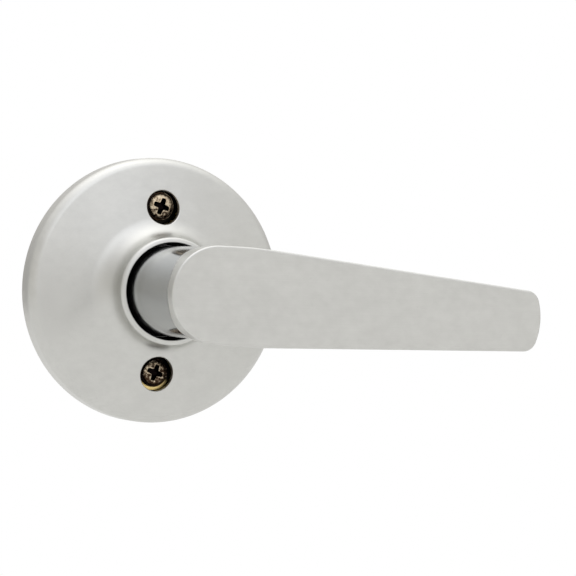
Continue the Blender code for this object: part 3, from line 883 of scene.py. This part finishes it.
def screw_wear_and_light(centre, crown_wear, rim_wear_and_light):
    """A screw's value at a point: rubbed bare most on the crown, lighter towards its top,
    and round the recess's edge; a painted highlight on the right of the flange rim; below 0,
    painted shade in the recess, on the rim's left, on the flange and on the dome's side.
    """

    def worn_and_lit(spot):
        x, y = spot.x - centre.x, spot.y - centre.y
        radius = hypot(x, y)
        gap = recess_gap(x, y)
        if spot.z < CUP_HEIGHT:
            return 0.15
        if spot.z < SCREW_HEAD_TOP - 0.0003 and gap < 0.0001 and radius < SCREW_DOME_RADIUS * 0.95:
            # Painted shade: the recess goes near black.
            return -1.0
        if spot.z > SCREW_HEAD_TOP - 0.0009:
            edge = 0.35 * (1 - smooth(abs(gap), 0.00005, 0.0004))
            return crown_wear + 0.22 * y / SCREW_DOME_RADIUS + edge
        # Flange rim: painted highlight on the right, painted shade on the left; elsewhere painted shade.
        return rim_wear_and_light + 0.8 * x / radius if radius > SCREW_FLANGE_RADIUS - 0.0003 else -0.8

    return worn_and_lit


def make_screws():
    for label, centre in SCREWS.items():
        shape = revolved(screw_outline(CUP_HEIGHT + GAP), 72, centre, closed=False)
        threaded(shape, SCREW_TIP + THREADED_LENGTH, SCREW_TIP, centre, 72)
        bmesh.ops.remove_doubles(shape, verts=shape.verts, dist=1e-7)
        shape = boolean(shape, [cross_cutter(centre)], "DIFFERENCE")
        made = finished("screw_" + label, shape, "mounting", "bronzed_steel", "mounting_screw_" + label)
        # Rubbing, painted highlight and painted shade, stored on the screw's vertices.
        mark(made, "wear_and_painted_light", screw_wear_and_light(centre, *SCREW_WEAR_AND_LIGHT[label]))


def ring_of(inner, outer, low, high, edge, sides=ROUND, centre=(0, 0)):
    """A bmesh of a flat ring with rounded edges."""
    corners = [(inner, high, edge), (outer, high, edge), (outer, low, edge), (inner, low, edge)]
    return revolved(rounded(corners, radians(30)), sides, centre)


def make_cage():
    """The pressed cover over the spring, with an ear on each side and a tab turned down inside it."""
    hole = SLEEVE_HOLE
    inside, under = CAGE_RADIUS - CAGE_SHEET, CAGE_HIGH.z - CAGE_SHEET
    outline = rounded(
        [
            (hole, CAGE_HIGH.z, 0.0002),
            (CAGE_RADIUS, CAGE_HIGH.z, 0.0010),
            (CAGE_RADIUS, CAGE_LOW.z, 0.0002),
            (inside, CAGE_LOW.z, 0.0002),
            (inside, under, 0.0004),
            (hole, under, 0.0002),
        ],
        radians(15),
    )
    low = CAGE_LOW.z + 0.0001
    tab_near, tab_half = CAM_TAB[1] + 0.0004, CAM_TAB_HALF + GAP
    tab_top = CAGE_HIGH.z - CAGE_SHEET / 2
    extras = [block((-tab_near - 0.001, -tab_half, 0.0023), (-tab_near, tab_half, tab_top))]
    for side in (1, -1):
        near, far = side * (inside + 0.0003), side * CAGE_HIGH.x
        corners = [(near, -EAR_HALF_HEIGHT, 0), (far, -EAR_HALF_HEIGHT, 0.0025),
                   (far, EAR_HALF_HEIGHT, 0.0025), (near, EAR_HALF_HEIGHT, 0)]
        holes = [circle(RIVET_RADIUS + GAP, 32, spot) for spot in RIVETS.values() if spot.x * side > 0]
        extras.append(pressed([rounded(corners), *holes], low, low + CAGE_SHEET, 0.0001))
    shape = boolean(revolved(outline), extras, "UNION")
    finished("spring_cover", shape, "mounting", "plain_steel", "spring_cage")


def make_rivets():
    """Domed rivets, closed flush behind the plate."""
    for name, spot in RIVETS.items():
        low, high = (corner.z for corner in facing_box(name))
        front, reach = high - RIVET_HEAD, facing_box(name)[1].x - spot.x
        turns = [radians(9 * step) for step in range(10)]
        dome = [Vector((reach * sin(a), front + RIVET_HEAD * cos(a))) for a in turns]
        stem = [(reach, front, 0), (RIVET_RADIUS, front, 0), (RIVET_RADIUS, -GAP, 0),
                (reach, -GAP, 0.0002), (reach * 0.8, low, 0.0002), (0, low, 0)]
        shape = revolved(dome + rounded(stem, radians(30)), 40, spot, closed=False)
        finished("rivet" + name.removeprefix("cage_rivet"), shape, "mounting", "plain_steel", name)


def make_spring():
    """A torsion spring of two turns, whose legs stand either side of the cage's and the cam's tabs."""
    low, high = facing_box("return_spring")
    wire = SPRING_WIRE / 2
    start, sweep = pi + SPRING_LEG_ANGLE, 2 * tau - 2 * SPRING_LEG_ANGLE
    foot, rise = low.z + wire, high.z - low.z - SPRING_WIRE
    path = []
    for step in range(161):
        turn = start + sweep * step / 160
        x, y = SPRING_RADIUS * cos(turn), SPRING_RADIUS * sin(turn)
        path.append(Vector((x, y, foot + rise * step / 160)))
    for end, turn in ((0, start), (-1, start + sweep)):
        leg = Vector((SPRING_LEG_END * cos(turn), SPRING_LEG_END * sin(turn), path[end].z))
        near = path[end].lerp(leg, 0.12)
        path = [leg, near] + path[1:] if end == 0 else path[:-1] + [near, leg]
    finished("torsion_spring", tube(path, wire), "mounting", "spring_steel", "return_spring")


def make_washers():
    """The thrust washer in front of the cage, and the wave washer behind the plate."""
    low, high = facing_box("thrust_washer")
    shape = ring_of(SLEEVE_RADIUS + GAP, high.x, low.z, high.z, 0.0001)
    finished("slip_washer", shape, "mounting", "black_nylon", "thrust_washer")
    low, high = facing_box("wave_washer")
    middle, thick = (low.z + high.z) / 2, 0.0004
    shape = ring_of(SLEEVE_HOLE, high.x, middle - thick / 2, middle + thick / 2, 0.0001)
    wave = (high.z - low.z - thick) / 2
    for vertex in shape.verts:
        vertex.co.z += wave * cos(3 * atan2(vertex.co.y, vertex.co.x))
    finished("spring_washer", shape, "mounting", "spring_steel", "wave_washer")


def make_retainers():
    """Plastic rings that keep the screws in the plate."""
    for label in SCREWS:
        low, high = facing_box("screw_retainer_" + label)
        middle = (low + high) / 2
        inner = SCREW_SHANK_RADIUS + GAP
        shape = ring_of(inner, high.x - middle.x, low.z, high.z, 0.0002, 64, middle)
        finished("retainer_" + label, shape, "mounting", "black_nylon", "screw_retainer_" + label)


# The turning pieces.


def blade_outline():
    """The lever as seen from the front: a round hub, tapered sides and a crowned end."""
    left = HUB_RADIUS * (1 - sin(HUB_SPREAD)) / cos(HUB_SPREAD)
    rise = BLADE_ROOT_HALF_HEIGHT - HUB_RADIUS / cos(HUB_SPREAD)
    shoulder_x = rise / (tan(HUB_SPREAD) + BLADE_TAPER)
    shoulder_y = BLADE_ROOT_HALF_HEIGHT - BLADE_TAPER * shoulder_x
    tip_x = LEVER_TIP - 0.0016
    tip_y = BLADE_ROOT_HALF_HEIGHT - BLADE_TAPER * tip_x
    points = rounded(
        [
            (-HUB_RADIUS, -left, HUB_RADIUS - 0.00001),
            (shoulder_x, -shoulder_y, SHOULDER_RADIUS),
            (tip_x, -tip_y, TIP_CORNER_RADIUS),
            (LEVER_TIP + 0.00087, 0, TIP_CROWN_RADIUS),
            (tip_x, tip_y, TIP_CORNER_RADIUS),
            (shoulder_x, shoulder_y, SHOULDER_RADIUS),
            (-HUB_RADIUS, left, HUB_RADIUS - 0.00001),
        ],
        step=radians(3),
    )
    apart = [point for index, point in enumerate(points) if (point - points[index - 1]).length > GAP / 6]
    return [point - Vector((0, BLADE_DROP)) for point in divided(apart, 0.0009)]


def outward(outline):
    """The outline's outward normals."""
    normals = []
    for index in range(len(outline)):
        ahead = outline[(index + 1) % len(outline)] - outline[index - 1]
        normals.append(Vector((ahead.y, -ahead.x)).normalized())
    return normals


def smooth(value, low, high):
    share = min(1.0, max(0.0, (value - low) / (high - low)))
    return share * share * (3 - 2 * share)


def neck_radius(z):
    return NECK_RADIUS_INNER + NECK_DRAFT * (z - NECK_END)


def blade_back(x):
    """The height of the blade's flat back, which slopes so that the blade thins towards its tip."""
    share = (x + HUB_RADIUS) / (LEVER_TIP + HUB_RADIUS)
    return LEVER_FRONT - BLADE_THICKNESS_HUB + share * (BLADE_THICKNESS_HUB - BLADE_THICKNESS_TIP)


def hub_foot(spot):
    """Where the hub's side wall meets the neck: nearest the front on the side away from the blade."""
    away = degrees(abs(atan2(spot.y, -spot.x)))
    return blade_back(spot.x) + HUB_RELIEF * (1 - smooth(away, 8, 58))


def stepped_path(spot, normal):
    """From the neck through a fillet, along the blade's back and round its edge to the side wall."""
    ray = spot.normalized()
    radius = neck_radius(blade_back(0))
    room = spot.length - radius
    edge = min(BLADE_BACK_EDGE, room * 0.35)
    fillet = min(NECK_FILLET, max(0.0001, (room - edge) * 0.8))
    path = []
    for step in range(9):
        turn = radians(90 * step / 8)
        reach = radius + fillet * (1 - cos(turn))
        inner = ray * reach
        path.append((*inner, blade_back(inner.x) - fillet * (1 - sin(turn))))
    last = Vector(path[-1][:2])
    rim = spot - normal * edge
    for step in range(1, 7):
        inner = last.lerp(rim, step / 6)
        path.append((*inner, blade_back(inner.x)))
    for step in range(1, 6):
        turn = radians(90 * step / 5)
        outer = rim + normal * edge * sin(turn)
        path.append((*outer, blade_back(outer.x) + edge * (1 - cos(turn))))
    return path


def flared_path(spot, count):
    """From the neck to the side wall in one short sweep, where the blade hardly overhangs the neck."""
    ray = spot.normalized()
    away = degrees(abs(atan2(spot.y, -spot.x)))
    start, end = hub_foot(spot) - 0.0012, hub_foot(spot) + 0.0006 + 0.0014 * smooth(away, 6, 34)
    path = []
    for step in range(count):
        share = step / (count - 1)
        z = start + (end - start) * share
        reach = neck_radius(z) + (spot.length - neck_radius(z)) * smooth(share, 0, 1)
        path.append((*(ray * reach), z))
    return path


def lever_rings():
    """Rings of points from the neck's end, over the blade's back and side, to the edge of its front."""
    outline = blade_outline()
    paths = []
    for spot, normal in zip(outline, outward(outline)):
        stepped = stepped_path(spot, normal)
        flared = flared_path(spot, len(stepped))
        room = spot.length - neck_radius(blade_back(0))
        share = smooth(room, 0.0008, 0.0042)
        path = [Vector(near).lerp(Vector(far), share) for near, far in zip(flared, stepped)]
        foot = spot.normalized()
        neck = []
        for step in range(7):
            z = NECK_END + 0.0002 + (path[0].z - NECK_END - 0.0002) * step / 7
            neck.append(Vector((*(foot * neck_radius(z)), z)))
        neck.insert(0, Vector((*(foot * (neck_radius(NECK_END) - 0.0002)), NECK_END)))
        front = []
        for step in range(7):
            turn = radians(90 * step / 6)
            edge = spot - normal * BLADE_FRONT_EDGE * (1 - cos(turn))
            front.append(Vector((*edge, LEVER_FRONT - BLADE_FRONT_EDGE * (1 - sin(turn)))))
        inner = spot - normal * (BLADE_FRONT_EDGE + 0.0004)
        front.append(Vector((*inner, LEVER_FRONT)))
        paths.append(neck + path + front)
    return list(zip(*paths))


def make_lever():
    shape = bmesh.new()
    rings = [[shape.verts.new(spot) for spot in ring] for ring in lever_rings()]
    lofted(shape, rings)
    bmesh.ops.rotate(shape, matrix=Matrix.Rotation(-LEVER_DROOP, 3, "Z"), verts=shape.verts)
    low = NECK_END - 0.002
    bore = [(0, NECK_BORE_END), (NECK_BORE_RADIUS, NECK_BORE_END), (NECK_BORE_RADIUS, low), (0, low)]
    cutters = [revolved(bore, 96, closed=False), pin_hole()]
    made = finished("lever_handle", boolean(shape, cutters, "DIFFERENCE"), "lever", "satin_metal", "lever")
    mark(made, "polish", neck_polish)


def neck_polish(spot):
    """1 on the neck, which is buffed bright, and 0 on the hub and the blade."""
    radius = hypot(spot.x, spot.y)
    above = smooth(spot.z, LEVER_FRONT - 0.002, LEVER_FRONT - 0.0014)
    return 1 - max(smooth(radius - neck_radius(spot.z), 0.00002, 0.00015), above)


def make_sleeve():
    """The turning sleeve: a square hole, two flats for the cam, a ring groove and a cross-pin hole."""
    half = SPINDLE_SIDE / 2 + GAP
    outlines = [circle(SLEEVE_RADIUS, 144), square(half, 0.0003)]
    shape = pressed(outlines, SLEEVE_LOW.z, SLEEVE_HIGH.z, 0.0003)
    low, high = SLEEVE_LOW.z - 0.002, CAM_HIGH.z + GAP
    groove = [(GROOVE_RADIUS, RING_HIGH.z + GAP), (0.011, RING_HIGH.z + GAP),
              (0.011, RING_LOW.z - GAP), (GROOVE_RADIUS, RING_LOW.z - GAP)]
    cutters = [
        block((-0.012, SLEEVE_FLAT, low), (0.012, 0.012, high)),
        block((-0.012, -0.012, low), (0.012, -SLEEVE_FLAT, high)),
        revolved(groove, 96),
        pin_hole(),
    ]
    shape = boolean(shape, cutters, "DIFFERENCE")
    finished("turning_sleeve", shape, "lever", "plain_steel", "spindle_sleeve")


def make_pin():
    """The cross pin through the neck and the sleeve, with rounded ends."""
    reach = facing_box("sleeve_pin")[1].y
    corners = [(0, reach, 0), (PIN_RADIUS, reach, 0.0004), (PIN_RADIUS, -reach, 0.0004), (0, -reach, 0)]
    pin = crossbar(rounded(corners, radians(15)))
    finished("cross_pin", pin, "lever", "plain_steel", "sleeve_pin")


def make_cam():
    """A disc keyed to the sleeve's flats, with a long tab for the spring and a short one for the stop."""
    hole_radius, hole_flat = SLEEVE_RADIUS + GAP, SLEEVE_FLAT + GAP
    half = asin(hole_flat / hole_radius)
    hole = arc(hole_radius, -half, half) + arc(hole_radius, pi - half, pi + half)
    disc = pressed([circle(CAM_HIGH.x, 128), hole], CAM_LOW.z, CAM_DISC_FRONT, 0.0002)
    tabs = []
    for side, reach in ((-1, CAM_HIGH.z), (1, 0.0028)):
        near, far = sorted((side * CAM_TAB[0], side * CAM_TAB[1]))
        tab = block((near, -CAM_TAB_HALF, CAM_LOW.z + 0.0004), (far, CAM_TAB_HALF, reach))
        bmesh.ops.bevel(tab, geom=tab.edges[:], offset=0.00015, segments=2, affect="EDGES")
        tabs.append(tab)
    finished("keyed_cam", boolean(disc, tabs, "UNION"), "lever", "plain_steel", "drive_cam")
    low, high = facing_box("cam_washer")
    shape = ring_of(SLEEVE_RADIUS + GAP, high.x, low.z, high.z, 0.0002)
    finished("back_washer", shape, "lever", "plain_steel", "cam_washer")


def make_retaining_ring():
    """An external circlip: an open ring with two lugs."""
    inner, outer, lug_end = GROOVE_RADIUS + GAP, RING_HIGH.x, -RING_LOW.y
    middle, gap_half, lug = radians(-90), radians(16), radians(17)
    start, end = middle + gap_half, middle + tau - gap_half
    edge = arc(outer, start + lug, end - lug)
    lug_out = arc(lug_end, end - lug * 0.8, end)
    lug_in = arc(lug_end, start, start + lug * 0.8)
    mid = (inner + lug_end) / 2 + 0.0004
    holes = []
    for angle in (start + lug * 0.42, end - lug * 0.42):
        holes.append(circle(0.0007, 32, (mid * cos(angle), mid * sin(angle))))
    outlines = [edge + lug_out + arc(inner, end, start) + lug_in, *holes]
    shape = pressed(outlines, RING_LOW.z, RING_HIGH.z, 0.00015)
    finished("circlip", shape, "lever", "spring_steel", "retaining_ring")


def make_spindle():
    """A square bar with rounded corners and chamfered ends."""
    half, chamfer = SPINDLE_SIDE / 2, 0.0008
    low, high = SPINDLE_LOW.z, SPINDLE_HIGH.z
    shape = bmesh.new()
    rings = []
    end = half - chamfer
    for z, reach in ((high, end), (high - chamfer, half), (low + chamfer, half), (low, end)):
        rings.append(ring_at(shape, square(reach, 0.0004, radians(15)), z))
    lofted(shape, rings)
    finished("square_spindle", shape, "lever", "plain_steel", "spindle")


# The camera, the lights and the floor.


def toward(azimuth, elevation):
    """A direction, whose azimuth turns from straight in front of the door towards the lever's tip."""
    azimuth, elevation = radians(azimuth), radians(elevation)
    flat = cos(elevation)
    return sin(azimuth) * flat, -cos(azimuth) * flat, sin(elevation)


def make_camera():
    spot = Vector(toward(*CAMERA_STAND)) * CAMERA_DISTANCE
    ahead = -Vector(toward(*CAMERA_LINE))
    look = -radians(CAMERA_LINE[0])
    right = Vector((cos(look), -sin(look), 0))
    up = right.cross(ahead)
    tilted_right = right * cos(CAMERA_ROLL) + up * sin(CAMERA_ROLL)
    tilted_up = up * cos(CAMERA_ROLL) - right * sin(CAMERA_ROLL)
    data = bpy.data.cameras.new("camera")
    data.lens = CAMERA_LENS
    data.sensor_width = 36
    data.clip_start = 0.01
    camera = placed("camera", data)
    turn = Matrix((tilted_right, tilted_up, -ahead)).transposed().to_4x4()
    camera.matrix_world = Matrix.Translation(spot) @ turn
    bpy.context.scene.camera = camera


def make_world():
    """A white surround for the camera, and a softly graded studio for the metal to reflect."""
    world = bpy.data.worlds.new("studio")
    bpy.context.scene.world = world
    world.use_nodes = True
    tree = world.node_tree
    tree.nodes.clear()

    def add(kind, *sources, **settings):
        node = tree.nodes.new(kind)
        for key, value in settings.items():
            setattr(node, key, value)
        for socket, source in zip(node.inputs, sources):
            if hasattr(source, "links"):
                tree.links.new(source, socket)
            else:
                socket.default_value = source
        return node

    facing = add("ShaderNodeTexCoord").outputs["Generated"]
    total = add("ShaderNodeCombineXYZ", *AMBIENT).outputs[0]
    for name, (azimuth, elevation, tightness, colour) in STUDIO_LIGHTS.items():
        close = add("ShaderNodeVectorMath", facing, toward(azimuth, elevation), operation="DOT_PRODUCT")
        near = close.outputs["Value"]
        scaled = add("ShaderNodeMath", near, tightness, -tightness, operation="MULTIPLY_ADD")
        falloff = add("ShaderNodeMath", scaled.outputs[0], operation="EXPONENT")
        glow = add("ShaderNodeVectorMath", colour, operation="SCALE", name=name)
        tree.links.new(falloff.outputs[0], glow.inputs["Scale"])
        total = add("ShaderNodeVectorMath", total, glow.outputs[0], operation="ADD").outputs[0]
    lit = add("ShaderNodeBackground", total)
    white = add("ShaderNodeBackground", (1, 1, 1, 1))
    camera_ray = add("ShaderNodeLightPath").outputs["Is Camera Ray"]
    seen = add("ShaderNodeMixShader", camera_ray, lit.outputs[0], white.outputs[0])
    add("ShaderNodeOutputWorld", seen.outputs[0])


def make_floor():
    """A pale floor well below, which the door hardware hangs over."""
    shape = bmesh.new()
    bmesh.ops.create_grid(shape, x_segments=8, y_segments=8, size=2.5)
    bmesh.ops.translate(shape, vec=(0, 0, CAD_BOX[0].z - FLOOR_DROP), verts=shape.verts)
    floor = placed("floor", settled("floor", shape))
    recipe = Recipe("floor")
    recipe.shader.inputs["Base Color"].default_value = (0.75, 0.75, 0.74, 1)
    recipe.shader.inputs["Roughness"].default_value = 0.9
    floor.data.materials.append(recipe.material)


bpy.context.scene.view_settings.view_transform = "Standard"
make_camera()
make_world()
make_floor()
make_rose()
make_bushing()
make_plate()
make_cage()
make_rivets()
make_spring()
make_washers()
make_retainers()
make_screws()
make_lever()
make_sleeve()
make_pin()
make_cam()
make_retaining_ring()
make_spindle()
